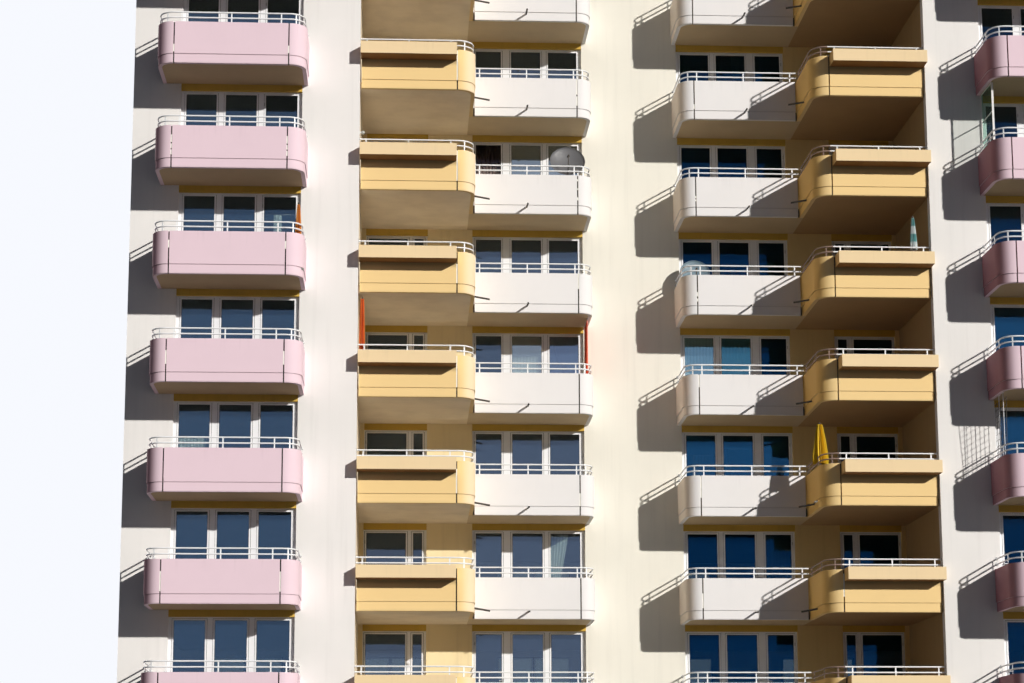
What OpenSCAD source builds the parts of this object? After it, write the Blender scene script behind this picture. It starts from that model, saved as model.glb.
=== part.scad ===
// Apartment block with stepped front, white, yellow and lilac precast balconies.
// Millimetres, Z up, the front faces -Y, the base lies on Z = 0.

/* [Storeys] */
// Number of storeys above the ground storey
upper_storeys = 9; // [2:1:10]
// Height from one slab underside to the next
storey_h = 2800; // [2600:50:3200]
// Underside of the first floor slab above the base
ground_h = 3400; // [2600:50:4000]
// Thickness of the floor and balcony slabs
slab_t = 200; // [160:10:300]
// Thickness of the base slab
base_t = 150; // [100:10:400]
// Thickness of the roof slab
roof_t = 250; // [200:10:400]
// Height of the upstand round the roof
upstand_h = 600; // [200:50:1200]
// Thickness of the coping on the upstand
coping_t = 40; // [20:5:80]
// Overhang of the coping on both sides of the upstand
coping_out = 30; // [10:5:60]

/* [Plan] */
// Half width of the plain wall in the middle of the front
centre_half = 1370; // [800:10:2500]
// Half width of the recessed middle part of the front
bay_half = 7625; // [7560:5:8800]
// Half width of the whole block
block_half = 13600; // [13200:50:16000]
// Depth from the recessed front wall to the rear face
body_d = 9000; // [7000:100:14000]
// How far the two wings stand forward of the recessed wall
wing_step = 3870; // [3800:10:5000]
// Thickness of the outer walls
wall_t = 250; // [200:10:400]
// Thickness of the roof upstand
upstand_t = 200; // [150:10:300]

/* [Openings] */
// Outer edge of the window beside the plain wall
bay_window_end = 4500; // [3800:10:4520]
// Inner edge of the window in the deep balcony bay
loggia_window_start = 5760; // [5200:10:6500]
// Outer edge of the window in the deep balcony bay
loggia_window_end = 7500; // [6800:10:7550]
// Inner edge of the window in a wing
wing_window_start = 9150; // [9130:10:9600]
// Outer edge of the window in a wing
wing_window_end = 12350; // [11500:10:12700]
// Depth of the beam over each window below the slab
lintel_drop = 170; // [150:10:500]
// Height of the window sills above the floor where there is no balcony
sill_h = 900; // [600:50:1200]
// Height of the window sills in the ground storey
ground_sill_h = 1300; // [600:50:1600]
// Width of each rear window
rear_window_w = 2400; // [1200:50:3200]
// Number of windows in each rear row
rear_windows = 6; // [2:2:8]

/* [Balconies] */
// Projection of the white balconies
white_d = 1700; // [1200:10:2200]
// Projection of the yellow balconies
yellow_d = 3780; // [3000:10:3800]
// Projection of the lilac balconies from the wings
lilac_d = 1600; // [1200:10:2000]
// Outer side face of the white balconies
white_x = 1225; // [900:5:1360]
// Outer side face of the yellow balconies
yellow_x = 4530; // [4400:10:4700]
// Inner side face of the lilac balconies
lilac_x = 8980; // [8800:10:9140]
// Outer side face of the lilac balconies
lilac_end = 12850; // [12400:10:13100]
// Corner radius of the white balconies
white_r = 400; // [300:10:600]
// Corner radius of the yellow balconies
yellow_r = 480; // [300:10:600]
// Corner radius of the lilac balconies
lilac_r = 440; // [300:10:600]
// Thickness of the parapet panels
panel_t = 120; // [80:5:160]
// Height of the parapet panels from the slab underside
parapet_h = 1110; // [900:10:1300]
// Height of the lower band of the panels
band_h = 245; // [205:5:350]
// How far the lower band stands back
band_back = 20; // [5:1:40]
// Width of the open joints between the panels
joint = 35; // [10:1:60]
// Width of the gap at the fixed end of the straight panels
end_gap = 40; // [15:1:80]

/* [Planters] */
// Projection of the planters from the yellow panels
planter_d = 490; // [300:10:700]
// Height of the planters
planter_h = 330; // [200:10:500]
// Underside of the planters above the slab underside
planter_z = 800; // [600:10:900]
// Inner end of the planters
planter_x = 5050; // [5045:5:5400]
// Wall thickness of the planters
planter_t = 50; // [30:5:80]
// Gap between the planters and the wing
planter_gap = 20; // [5:5:60]
// Depth of the soil surface below the rim of the planters
soil_drop = 60; // [30:5:120]

/* [Railings] */
// Diameter of the handrail tubes
rail_dia = 40; // [25:1:60]
// Width of the flat railing posts
post_w = 34; // [20:1:39]
// Thickness of the flat railing posts
post_t = 10; // [6:1:16]
// Angle of the corner post from the front of the curve
corner_post = 25; // [10:1:60]
// Height of the upper tube above the panel
rail_top = 275; // [150:5:400]
// Height of the lower tube above the panel
rail_low = 130; // [80:5:200]
// Width of the open joint between the bent and the straight side tubes
rail_joint = 6; // [2:1:15]
// Place of the first and last posts over the white front panels
white_posts = [1732, 4357]; // [1660:1:4480]
// Place of the first and last posts over the yellow front panels
yellow_posts = [5200, 7450]; // [5060:1:7540]
// Place of the first and last posts over the lilac front panels
lilac_posts = [9640, 12210]; // [9480:1:12380]
// Place of the end posts on the side rails, as a share of the length
side_post = 0.12; // [0.05:0.01:0.4]

/* [Drains] */
// Outer diameter of the drain spouts
spout_dia = 50; // [30:1:80]
// Wall thickness of the drain spouts
spout_wall = 4; // [2:1:8]
// Length of a spout outside the panel
spout_len = 440; // [200:10:500]
// Fall of the white balconies' spouts, in degrees
white_fall = 5; // [0:1:15]
// Fall of the yellow balconies' spouts, in degrees
yellow_fall = 10; // [0:1:15]
// Height of the spout's axis above the slab underside
spout_z = 195; // [175:5:215]
// Place of the spout along the white front panels
white_spout_x = 3050; // [1800:10:4400]
// Distance of the yellow balcony's spout in front of the white panels
yellow_spout_y = 920; // [200:10:1400]

/* [Hidden] */
$fn = 48;
rear_y = (body_d + wing_step + lilac_d - coping_out) / 2;
wall_y = rear_y - body_d;
wing_y = wall_y - wing_step;
white_y = wall_y - white_d;
yellow_y = wall_y - yellow_d;
lilac_y = wing_y - lilac_d;
roof_z = ground_h + upper_storeys * storey_h;
top_z = roof_z + roof_t;
rear_pitch = 2 * block_half / rear_windows;
rail_in = panel_t / 2;
planter_w = bay_half - planter_gap - planter_x;

function level(k) = ground_h + k * storey_h;

module pair() {
  children();
  mirror([1, 0, 0]) children();
}

module at_levels(last) {
  for (k = [0 : last]) translate([0, 0, level(k)]) children();
}

// A box given by its two opposite corners.
module block(a, b) {
  translate(a) cube(b - a);
}

module footprint() {
  polygon([[-block_half, wing_y], [-bay_half, wing_y], [-bay_half, wall_y],
    [bay_half, wall_y], [bay_half, wing_y], [block_half, wing_y],
    [block_half, rear_y], [-block_half, rear_y]]);
}

module base_slab() {
  color("#8d8b86") linear_extrude(base_t) footprint();
}

module roof_slab() {
  color("#b9b6ae") translate([0, 0, roof_z]) linear_extrude(roof_t) footprint();
}

module centre_floors() {
  color("#b9b6ae") at_levels(upper_storeys - 1)
    block([-bay_half - wall_t, wall_y + wall_t, 0],
      [bay_half + wall_t, rear_y - wall_t, slab_t]);
}

module wing_floors() {
  color("#b9b6ae") pair() at_levels(upper_storeys - 1)
    block([bay_half + wall_t, wing_y + wall_t, 0],
      [block_half - wall_t, rear_y - wall_t, slab_t]);
}

module front_upstands() {
  color("#ece8e2") {
    block([-bay_half, wall_y, top_z],
      [bay_half, wall_y + upstand_t, top_z + upstand_h]);
    pair() block([bay_half, wing_y, top_z],
      [block_half, wing_y + upstand_t, top_z + upstand_h]);
  }
}

module side_upstands() {
  color("#ece8e2") pair() {
    block([bay_half, wing_y + upstand_t, top_z],
      [bay_half + upstand_t, wall_y + upstand_t, top_z + upstand_h]);
    block([block_half - upstand_t, wing_y + upstand_t, top_z],
      [block_half, rear_y - upstand_t, top_z + upstand_h]);
  }
}

// Flat cover over one straight run of the upstand, overhanging both long sides.
module coping(a, b) {
  block([a[0], a[1], top_z + upstand_h], [b[0], b[1], top_z + upstand_h + coping_t]);
}

module front_copings() {
  e = coping_out;
  color("#9a9c9e") {
    coping([-bay_half + e, wall_y - e], [bay_half - e, wall_y + upstand_t + e]);
    pair() coping([bay_half - e, wing_y - e], [block_half + e, wing_y + upstand_t + e]);
  }
}

module side_copings() {
  e = coping_out;
  color("#9a9c9e") pair() {
    coping([bay_half - e, wing_y + upstand_t + e],
      [bay_half + upstand_t + e, wall_y + upstand_t + e]);
    coping([block_half - upstand_t - e, wing_y + upstand_t + e],
      [block_half + e, rear_y - upstand_t - e]);
  }
}

module rear_coping() {
  e = coping_out;
  color("#9a9c9e") coping([-block_half - e, rear_y - upstand_t - e],
    [block_half + e, rear_y + e]);
}

module rear_upstand() {
  color("#ece8e2") block([-block_half, rear_y - upstand_t, top_z],
    [block_half, rear_y, top_z + upstand_h]);
}

module centre_wall() {
  color("#f4ecd8") block([-centre_half, wall_y, base_t],
    [centre_half, wall_y + wall_t, roof_z]);
}

module bay_piers() {
  color("#dcc48c") pair() {
    block([bay_window_end, wall_y, base_t],
      [loggia_window_start, wall_y + wall_t, roof_z]);
    block([loggia_window_end, wall_y, base_t],
      [bay_half, wall_y + wall_t, roof_z]);
  }
}

// Beams over the windows of one bay, with a sill in the ground storey.
module beams(x0, x1, y) {
  block([x0, y, base_t], [x1, y + wall_t, base_t + ground_sill_h]);
  for (k = [0 : upper_storeys]) block([x0, y, level(k) - lintel_drop],
    [x1, y + wall_t, min(level(k) + slab_t, roof_z)]);
}

module bay_lintels() {
  color("#dcc48c") pair() {
    beams(centre_half, bay_window_end, wall_y);
    beams(loggia_window_start, loggia_window_end, wall_y);
  }
}

module recess_side_walls() {
  color("#ece4d2") pair() block([bay_half, wing_y + wall_t, base_t],
    [bay_half + wall_t, wall_y + wall_t, roof_z]);
}

module wing_piers() {
  color("#ece8e2") pair() {
    block([bay_half, wing_y, base_t],
      [wing_window_start, wing_y + wall_t, roof_z]);
    block([wing_window_end, wing_y, base_t],
      [block_half, wing_y + wall_t, roof_z]);
  }
}

module wing_lintels() {
  color("#dcc48c") pair() beams(wing_window_start, wing_window_end, wing_y);
}

module gable_walls() {
  color("#ece8e2") pair() block([block_half - wall_t, wing_y + wall_t, base_t],
    [block_half, rear_y - wall_t, roof_z]);
}

module rear_piers() {
  w = rear_window_w / 2;
  color("#ece8e2") {
    for (i = [1 : rear_windows - 1]) translate([i * rear_pitch - block_half, 0, 0])
      block([w - rear_pitch / 2, rear_y - wall_t, base_t],
        [rear_pitch / 2 - w, rear_y, roof_z]);
    pair() block([block_half - rear_pitch / 2 + w, rear_y - wall_t, base_t],
      [block_half, rear_y, roof_z]);
  }
}

// The ground storey leaves out one sill on each side of the middle: the ways in.
module rear_spandrels() {
  w = rear_window_w / 2;
  color("#ece8e2") for (i = [0 : rear_windows - 1])
    translate([(i + 0.5) * rear_pitch - block_half, rear_y - wall_t, 0]) {
      if (abs(i + 0.5 - rear_windows / 2) > 1)
        block([-w, 0, base_t], [w, wall_t, base_t + ground_sill_h]);
      for (k = [0 : upper_storeys]) block([-w, 0, level(k) - lintel_drop],
        [w, wall_t, min(level(k) + slab_t + sill_h, roof_z)]);
    }
}

// Plan of a balcony slab with its outer corner rounded at the lower left.
module rounded_plan(x0, x1, y0, y1, r) {
  difference() {
    translate([x0, y0]) square([x1 - x0, y1 - y0]);
    difference() {
      translate([x0, y0]) square(r);
      translate([x0 + r, y0 + r]) circle(r);
    }
  }
}

// Height profile of a panel: the lower band stands back from the upper part.
module panel_profile(r, h) {
  if (h > band_h)
    polygon([[r - panel_t, 0], [r - band_back, 0], [r - band_back, band_h],
      [r, band_h], [r, h], [r - panel_t, h]]);
  else
    polygon([[r - panel_t, 0], [r - band_back, 0], [r - band_back, h],
      [r - panel_t, h]]);
}

// Curved corner panel at the lower left of a balcony with its return to the wall.
module corner_panel(x, y, r, y_end, h) {
  translate([x + r, y + r, 0]) {
    rotate([0, 0, 180]) rotate_extrude(angle = 90) panel_profile(r, h);
    mirror([1, 0, 0]) rotate([90, 0, 0]) mirror([0, 0, 1])
      linear_extrude(y_end - y - r) panel_profile(r, h);
  }
}

// Upper and lower straight panels between two ends.
module straight_panel(x0, x1, y) {
  block([x0, y, band_h], [x1, y + panel_t, parapet_h]);
}

module straight_band(x0, x1, y) {
  block([x0, y + band_back, 0], [x1, y + panel_t, band_h]);
}

module white_slabs() {
  color("#cdc3ad") pair() at_levels(upper_storeys) linear_extrude(slab_t)
    rounded_plan(white_x + panel_t, yellow_x + panel_t, white_y + panel_t,
      wall_y, white_r - panel_t);
}

module white_bands() {
  color("#f2eeea") pair() at_levels(upper_storeys)
    straight_band(white_x + white_r + joint, yellow_x - end_gap, white_y);
}

module white_panels() {
  color("#f2eeea") pair() at_levels(upper_storeys - 1)
    straight_panel(white_x + white_r + joint, yellow_x - end_gap, white_y);
}

module white_corners() {
  color("#f2eeea") pair() {
    at_levels(upper_storeys - 1)
      corner_panel(white_x, white_y, white_r, wall_y, parapet_h);
    translate([0, 0, roof_z])
      corner_panel(white_x, white_y, white_r, wall_y, band_h);
  }
}

module yellow_slabs() {
  color("#cdc3ad") pair() at_levels(upper_storeys) linear_extrude(slab_t)
    rounded_plan(yellow_x + panel_t, bay_half, yellow_y + panel_t, wall_y,
      yellow_r - panel_t);
}

module yellow_bands() {
  color("#f3cf8e") pair() at_levels(upper_storeys)
    straight_band(yellow_x + yellow_r + joint, bay_half - end_gap, yellow_y);
}

module yellow_panels() {
  color("#f3cf8e") pair() at_levels(upper_storeys - 1)
    straight_panel(yellow_x + yellow_r + joint, bay_half - end_gap, yellow_y);
}

module yellow_corners() {
  color("#f3cf8e") pair() {
    at_levels(upper_storeys - 1)
      corner_panel(yellow_x, yellow_y, yellow_r, white_y + panel_t, parapet_h);
    translate([0, 0, roof_z])
      corner_panel(yellow_x, yellow_y, yellow_r, white_y + panel_t, band_h);
  }
}

module lilac_slabs() {
  mid = (lilac_x + lilac_end) / 2;
  half = (lilac_end - lilac_x) / 2 - panel_t;
  color("#cdc3ad") pair() at_levels(upper_storeys)
    translate([mid, 0, 0]) linear_extrude(slab_t) intersection() {
      rounded_plan(-half, half, lilac_y + panel_t, wing_y, lilac_r - panel_t);
      mirror([1, 0]) rounded_plan(-half, half, lilac_y + panel_t, wing_y,
        lilac_r - panel_t);
    }
}

module lilac_bands() {
  color("#e3c9d0") pair() at_levels(upper_storeys)
    straight_band(lilac_x + lilac_r + joint, lilac_end - lilac_r - joint, lilac_y);
}

module lilac_panels() {
  color("#e3c9d0") pair() at_levels(upper_storeys - 1)
    straight_panel(lilac_x + lilac_r + joint, lilac_end - lilac_r - joint, lilac_y);
}

module lilac_corners() {
  mid = (lilac_x + lilac_end) / 2;
  color("#e3c9d0") pair() translate([mid, 0, 0]) pair() {
    at_levels(upper_storeys - 1)
      corner_panel(lilac_x - mid, lilac_y, lilac_r, wing_y, parapet_h);
    translate([0, 0, roof_z])
      corner_panel(lilac_x - mid, lilac_y, lilac_r, wing_y, band_h);
  }
}

module planters() {
  color("#f5d7a5") pair() at_levels(upper_storeys - 1)
    translate([planter_x, yellow_y - planter_d, planter_z]) difference() {
      cube([planter_w, planter_d, planter_h]);
      translate([planter_t, planter_t, planter_t])
        cube([planter_w - 2 * planter_t, planter_d - 2 * planter_t, planter_h]);
    }
}

module planter_soil() {
  color("#4a3626") pair() at_levels(upper_storeys - 1)
    translate([planter_x + planter_t, yellow_y - planter_d + planter_t,
      planter_z + planter_t])
      cube([planter_w - 2 * planter_t, planter_d - 2 * planter_t,
        planter_h - planter_t - soil_drop]);
}

module tube_x(x0, x1, y, z) {
  translate([x0, y, z]) rotate([0, 90, 0]) cylinder(h = x1 - x0, d = rail_dia);
}

module post() {
  translate([-post_w / 2, -post_t / 2, 0]) cube([post_w, post_t, rail_top]);
}

// Two straight tubes over a front panel with three flat posts.
module front_rail(x0, x1, y, ends) {
  for (z = [rail_low, rail_top]) tube_x(x0, x1, y + rail_in, parapet_h + z);
  for (x = [ends[0], (ends[0] + ends[1]) / 2, ends[1]])
    translate([x, y + rail_in, parapet_h]) post();
}

// Tubes bent round the corner on one post, then straight tubes on two posts to the wall.
module side_rail(x, y, r, y_end) {
  run = y_end - y - r;
  translate([x + r, y + r, parapet_h]) {
    for (z = [rail_low, rail_top]) {
      translate([0, 0, z]) rotate([0, 0, 180]) rotate_extrude(angle = 90)
        translate([r - rail_in, 0]) circle(d = rail_dia);
      translate([rail_in - r, rail_joint, z]) rotate([-90, 0, 0])
        cylinder(h = run - rail_joint, d = rail_dia);
    }
    rotate([0, 0, -corner_post]) translate([0, rail_in - r, 0]) post();
    for (part = [side_post, 1 - side_post])
      translate([rail_in - r, part * run, 0]) rotate([0, 0, 90]) post();
  }
}

module white_rails() {
  color("#d9dadb") pair() at_levels(upper_storeys - 1)
    front_rail(white_x + white_r, yellow_x, white_y, white_posts);
}

module white_side_rails() {
  color("#d9dadb") pair() at_levels(upper_storeys - 1)
    side_rail(white_x, white_y, white_r, wall_y);
}

module yellow_rails() {
  color("#d9dadb") pair() at_levels(upper_storeys - 1)
    front_rail(yellow_x + yellow_r, bay_half, yellow_y, yellow_posts);
}

module yellow_side_rails() {
  color("#d9dadb") pair() at_levels(upper_storeys - 1)
    side_rail(yellow_x, yellow_y, yellow_r, white_y + panel_t);
}

module lilac_rails() {
  color("#d9dadb") pair() at_levels(upper_storeys - 1)
    front_rail(lilac_x + lilac_r, lilac_end - lilac_r, lilac_y, lilac_posts);
}

module lilac_side_rails() {
  mid = (lilac_x + lilac_end) / 2;
  color("#d9dadb") pair() translate([mid, 0, 0]) pair()
    at_levels(upper_storeys - 1)
      side_rail(lilac_x - mid, lilac_y, lilac_r, wing_y);
}

// An open tube that slopes away from an upright face at Y = 0, cut flush with the face.
module spout(fall) {
  intersection() {
    rotate([90 + fall, 0, 0]) translate([0, 0, -spout_dia]) difference() {
      cylinder(h = spout_len + spout_dia, d = spout_dia, $fn = 24);
      translate([0, 0, -1]) cylinder(h = spout_len + spout_dia + 2,
        d = spout_dia - 2 * spout_wall, $fn = 24);
    }
    translate([-spout_dia, -2 * spout_len, -spout_len])
      cube([2 * spout_dia, 2 * spout_len, 2 * spout_len]);
  }
}

module drain_spouts() {
  color("#4c443c") pair() at_levels(upper_storeys - 1) {
    translate([white_spout_x, white_y + band_back, spout_z]) spout(white_fall);
    translate([yellow_x + band_back, white_y - yellow_spout_y, spout_z])
      rotate([0, 0, -90]) spout(yellow_fall);
  }
}

base_slab();
centre_floors();
wing_floors();
roof_slab();
front_upstands();
side_upstands();
rear_upstand();
front_copings();
side_copings();
rear_coping();
centre_wall();
bay_piers();
bay_lintels();
recess_side_walls();
wing_piers();
wing_lintels();
gable_walls();
rear_piers();
rear_spandrels();
white_slabs();
white_bands();
white_panels();
white_corners();
yellow_slabs();
yellow_bands();
yellow_panels();
yellow_corners();
lilac_slabs();
lilac_bands();
lilac_panels();
lilac_corners();
planters();
planter_soil();
white_rails();
white_side_rails();
yellow_rails();
yellow_side_rails();
lilac_rails();
lilac_side_rails();
drain_spouts();
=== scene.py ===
# Apartment block with stepped balconies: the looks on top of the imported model, in metres.
import bpy
import bmesh
from math import cos, pi, radians, sin
from mathutils import Matrix, Vector


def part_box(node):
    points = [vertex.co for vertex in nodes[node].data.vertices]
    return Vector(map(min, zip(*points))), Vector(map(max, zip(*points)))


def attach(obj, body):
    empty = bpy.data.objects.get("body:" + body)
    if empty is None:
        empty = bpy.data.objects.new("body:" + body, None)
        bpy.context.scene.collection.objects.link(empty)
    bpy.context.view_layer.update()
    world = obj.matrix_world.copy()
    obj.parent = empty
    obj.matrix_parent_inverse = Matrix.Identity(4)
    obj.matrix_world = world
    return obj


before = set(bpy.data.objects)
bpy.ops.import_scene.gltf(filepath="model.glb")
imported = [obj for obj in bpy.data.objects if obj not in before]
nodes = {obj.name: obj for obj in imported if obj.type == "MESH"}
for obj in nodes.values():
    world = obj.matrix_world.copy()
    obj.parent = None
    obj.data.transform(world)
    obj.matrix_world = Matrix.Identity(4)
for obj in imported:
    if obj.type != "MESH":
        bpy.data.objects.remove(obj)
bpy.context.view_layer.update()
print("frame loaded:", len(nodes), "nodes")

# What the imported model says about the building
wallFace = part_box("centre_wall")[0].y
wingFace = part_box("wing_piers")[0].y
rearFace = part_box("rear_piers")[1].y
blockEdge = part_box("wing_piers")[1].x
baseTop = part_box("base_slab")[1].z
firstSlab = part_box("white_slabs")[0].z
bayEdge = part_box("bay_piers")[1].x
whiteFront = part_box("white_panels")[0].y
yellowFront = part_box("yellow_panels")[0].y
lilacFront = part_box("lilac_panels")[0].y
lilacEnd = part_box("lilac_corners")[1].x

storeys = {
    "height": 2.8,
    "upper": 9,
    "slab": 0.2,
    "beamDrop": 0.17,
    "sill": 0.9,
    "groundSill": 1.3,
}

# side and radius are the rounded corner's, foot is where the side run ends, posts stand on the panels
balconies = {
    "white": {"side": 1.225, "radius": 0.40, "front": whiteFront, "end": 4.53, "foot": wallFace,
              "posts": (1.732, 3.0445, 4.357)},
    "yellow": {"side": 4.53, "radius": 0.48, "front": yellowFront, "end": bayEdge, "foot": whiteFront,
               "posts": (5.2, 6.325, 7.45)},
    "lilac": {"side": 8.98, "radius": 0.44, "front": lilacFront, "end": lilacEnd, "foot": wingFace,
              "posts": (9.64, 10.925, 12.21)},
}
panel = {"thick": 0.12, "joint": 0.035, "top": 1.11, "band": 0.245, "endGap": 0.04}
rails = {"low": 0.13, "top": 0.275, "tube": 0.04, "cornerPost": 25, "sidePost": 0.12}


def level(k):
    return firstSlab + k * storeys["height"]


def floorOf(k):
    return baseTop if k < 0 else level(k) + storeys["slab"]


def headOf(k):
    return level(k + 1) - storeys["beamDrop"]


# Mesh helpers
def addBox(bm, low, high, mat=0, place=None):
    corners = [Vector((x, y, z)) for z in (low[2], high[2]) for y in (low[1], high[1]) for x in (low[0], high[0])]
    verts = [bm.verts.new(place @ c if place else c) for c in corners]
    for a, b, c, d in ((0, 2, 3, 1), (4, 5, 7, 6), (0, 1, 5, 4), (2, 6, 7, 3), (0, 4, 6, 2), (1, 3, 7, 5)):
        bm.faces.new((verts[a], verts[b], verts[c], verts[d])).material_index = mat
    return verts


def addGrid(bm, rows, closed=False, smooth=True):
    # faces between rows of equally many vertices
    count = len(rows[0])
    for near, far in zip(rows, rows[1:]):
        for i in range(count if closed else count - 1):
            j = (i + 1) % count
            bm.faces.new((near[i], near[j], far[j], far[i])).smooth = smooth


def addTurned(bm, points, steps=24, mat=0, place=Matrix()):
    # a profile of (radius, height) points turned round Z, then put in its place
    rings = []
    for r, h in points:
        turns = [2 * pi * i / steps for i in range(steps if r > 1e-6 else 1)]
        rings.append([bm.verts.new(place @ Vector((r * cos(turn), r * sin(turn), h))) for turn in turns])
    for low, high in zip(rings, rings[1:]):
        for i in range(steps):
            j = (i + 1) % steps
            if len(low) == 1 and len(high) == 1:
                continue
            if len(low) == 1:
                face = (low[0], high[j], high[i])
            elif len(high) == 1:
                face = (low[i], low[j], high[0])
            else:
                face = (low[i], low[j], high[j], high[i])
            made = bm.faces.new(face)
            made.material_index = mat
            made.smooth = True


def aim(start, direction):
    # a place at start whose Z looks along direction
    return Matrix.Translation(Vector(start)) @ Vector(direction).to_track_quat("Z", "Y").to_matrix().to_4x4()


def addRod(bm, start, end, radius, steps=12, mat=0):
    run = Vector(end) - Vector(start)
    addTurned(bm, [(0, 0), (radius, 0), (radius, run.length), (0, run.length)], steps, mat, aim(start, run))


def area(bm):
    return sum(f.calc_area() for f in bm.faces)


def linkMesh(name, bm, materials):
    mesh = bpy.data.meshes.new(name)
    bm.to_mesh(mesh)
    bm.free()
    for material in materials:
        mesh.materials.append(material)
    piece = bpy.data.objects.new(name, mesh)
    bpy.context.scene.collection.objects.link(piece)
    return piece


def finishPiece(name, bm, materials, bevel=0.0):
    bmesh.ops.recalc_face_normals(bm, faces=bm.faces[:])
    piece = linkMesh(name, bm, materials)
    if bevel:
        rounding = piece.modifiers.new("softEdges", "BEVEL")
        rounding.width = bevel
        rounding.segments = 2
        rounding.limit_method = "ANGLE"
        rounding.angle_limit = radians(50)
    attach(piece, "root")
    return piece


# Material helpers
class Nodes:
    # short ways to add nodes to a tree; a value is a number, a colour, a vector or another node's output
    def __init__(self, tree):
        self.tree = tree

    def put(self, socket, value):
        if isinstance(value, bpy.types.NodeSocket):
            self.tree.links.new(value, socket)
        elif socket.type == "RGBA":
            socket.default_value = (*value, 1)
        else:
            socket.default_value = value

    def add(self, kind, output, inputs=None, **settings):
        node = self.tree.nodes.new("ShaderNode" + kind)
        for key, value in settings.items():
            setattr(node, key, value)
        for key, value in (inputs or {}).items():
            self.put(node.inputs[key], value)
        return node.outputs[output]

    def calc(self, kind, a, b):
        return self.add("Math", "Value", {0: a, 1: b}, operation=kind)

    def times(self, a, b):
        return self.calc("MULTIPLY", a, b)

    def blend(self, factor, a, b):
        # the colour sockets of a mix node are numbers 6 and 7, and its colour output is number 2
        return self.add("Mix", 2, {0: factor, 6: a, 7: b}, data_type="RGBA")

    def seenRays(self):
        # what is looked at, straight, in a gloss or through a pane, before any bounce off a dull surface
        kinds = self.add("LightPath", "Is Camera Ray")
        for kind in ("Glossy", "Transmission"):
            kinds = self.calc("MAXIMUM", kinds, self.add("LightPath", "Is " + kind + " Ray"))
        return self.times(kinds, self.calc("LESS_THAN", self.add("LightPath", "Diffuse Depth"), 0.5))


class Paint(Nodes):
    def __init__(self, name, rough, metal=0.0):
        self.material = bpy.data.materials.new(name)
        self.material.use_nodes = True
        super().__init__(self.material.node_tree)
        self.shader = self.tree.nodes["Principled BSDF"]
        self.plain = self.coords((1, 1, 1))
        self.set("Roughness", rough)
        self.set("Metallic", metal)

    def coords(self, stretch):
        return self.add("Mapping", "Vector", {"Vector": self.add("TexCoord", "Object"), "Scale": stretch})

    def axis(self, vector, axis):
        return self.add("SeparateXYZ", axis, {"Vector": vector})

    def facing(self, axis):
        return self.axis(self.add("NewGeometry", "Normal"), axis)

    def noise(self, scale, detail=3.0, roughness=0.55, stretch=None):
        coords = self.coords(stretch) if stretch else self.plain
        values = {"Scale": scale, "Detail": detail, "Roughness": roughness, "Vector": coords}
        return self.add("TexNoise", "Fac", values)

    def spread(self, value, low, high, newLow=0.0, newHigh=1.0):
        values = {"Value": value, "From Min": low, "From Max": high, "To Min": newLow, "To Max": newHigh}
        return self.add("MapRange", "Result", values, interpolation_type="SMOOTHSTEP")

    def worn(self, paint, where, amount, dark):
        return self.blend(self.times(where, amount), paint, dark)

    def paintedShadeByHalf(self, left, right):
        # the right half of the block may take a darker colour, painted shade for the half that lies in shade
        return self.blend(self.spread(self.axis(self.plain, "X"), -0.5, 0.5), left, right) if right else left

    def heightInStorey(self):
        # metres above the underside of the storey's slab
        above = self.calc("SUBTRACT", self.axis(self.plain, "Z"), firstSlab - 10 * storeys["height"])
        return self.calc("MODULO", above, storeys["height"])

    def set(self, name, value):
        self.put(self.shader.inputs[name], value)

    def finish(self, tone, height, distance, strength=0.6):
        self.set("Base Color", tone)
        self.set("Normal", self.add("Bump", "Normal", {"Strength": strength, "Distance": distance, "Height": height}))
        return self.material

    def passLamps(self, surface, lamps):
        # lamps shine through the pane
        clear = self.add("BsdfTransparent", "BSDF", {"Color": lamps})
        mixed = self.add("MixShader", "Shader", {0: self.add("LightPath", "Is Shadow Ray"), 1: surface, 2: clear})
        self.put(self.tree.nodes["Material Output"].inputs["Surface"], mixed)


def tinted(colour, factor):
    return tuple(c * factor for c in colour)


def render(name, colour, dirt=0.10, rightPaintedShade=None):
    # fine rubbed plaster: cloudy tone, faint rain streaks, sandy grain; the right half may take a darker colour,
    # painted shade
    p = Paint(name, 0.92)
    dark = rightPaintedShade or colour
    tone = p.worn(p.paintedShadeByHalf(colour, rightPaintedShade), p.spread(p.noise(0.45, 5), 0.35, 0.7), dirt, tinted(dark, 0.62))
    streaks = p.spread(p.noise(1.6, 4, stretch=(3.5, 3.5, 0.16)), 0.48, 0.75)
    tone = p.worn(tone, streaks, dirt, tinted(dark, 0.5))
    return p.finish(tone, p.calc("ADD", p.noise(70, 3, 0.7), p.times(p.noise(14, 2), 0.6)), 0.0025)


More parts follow.
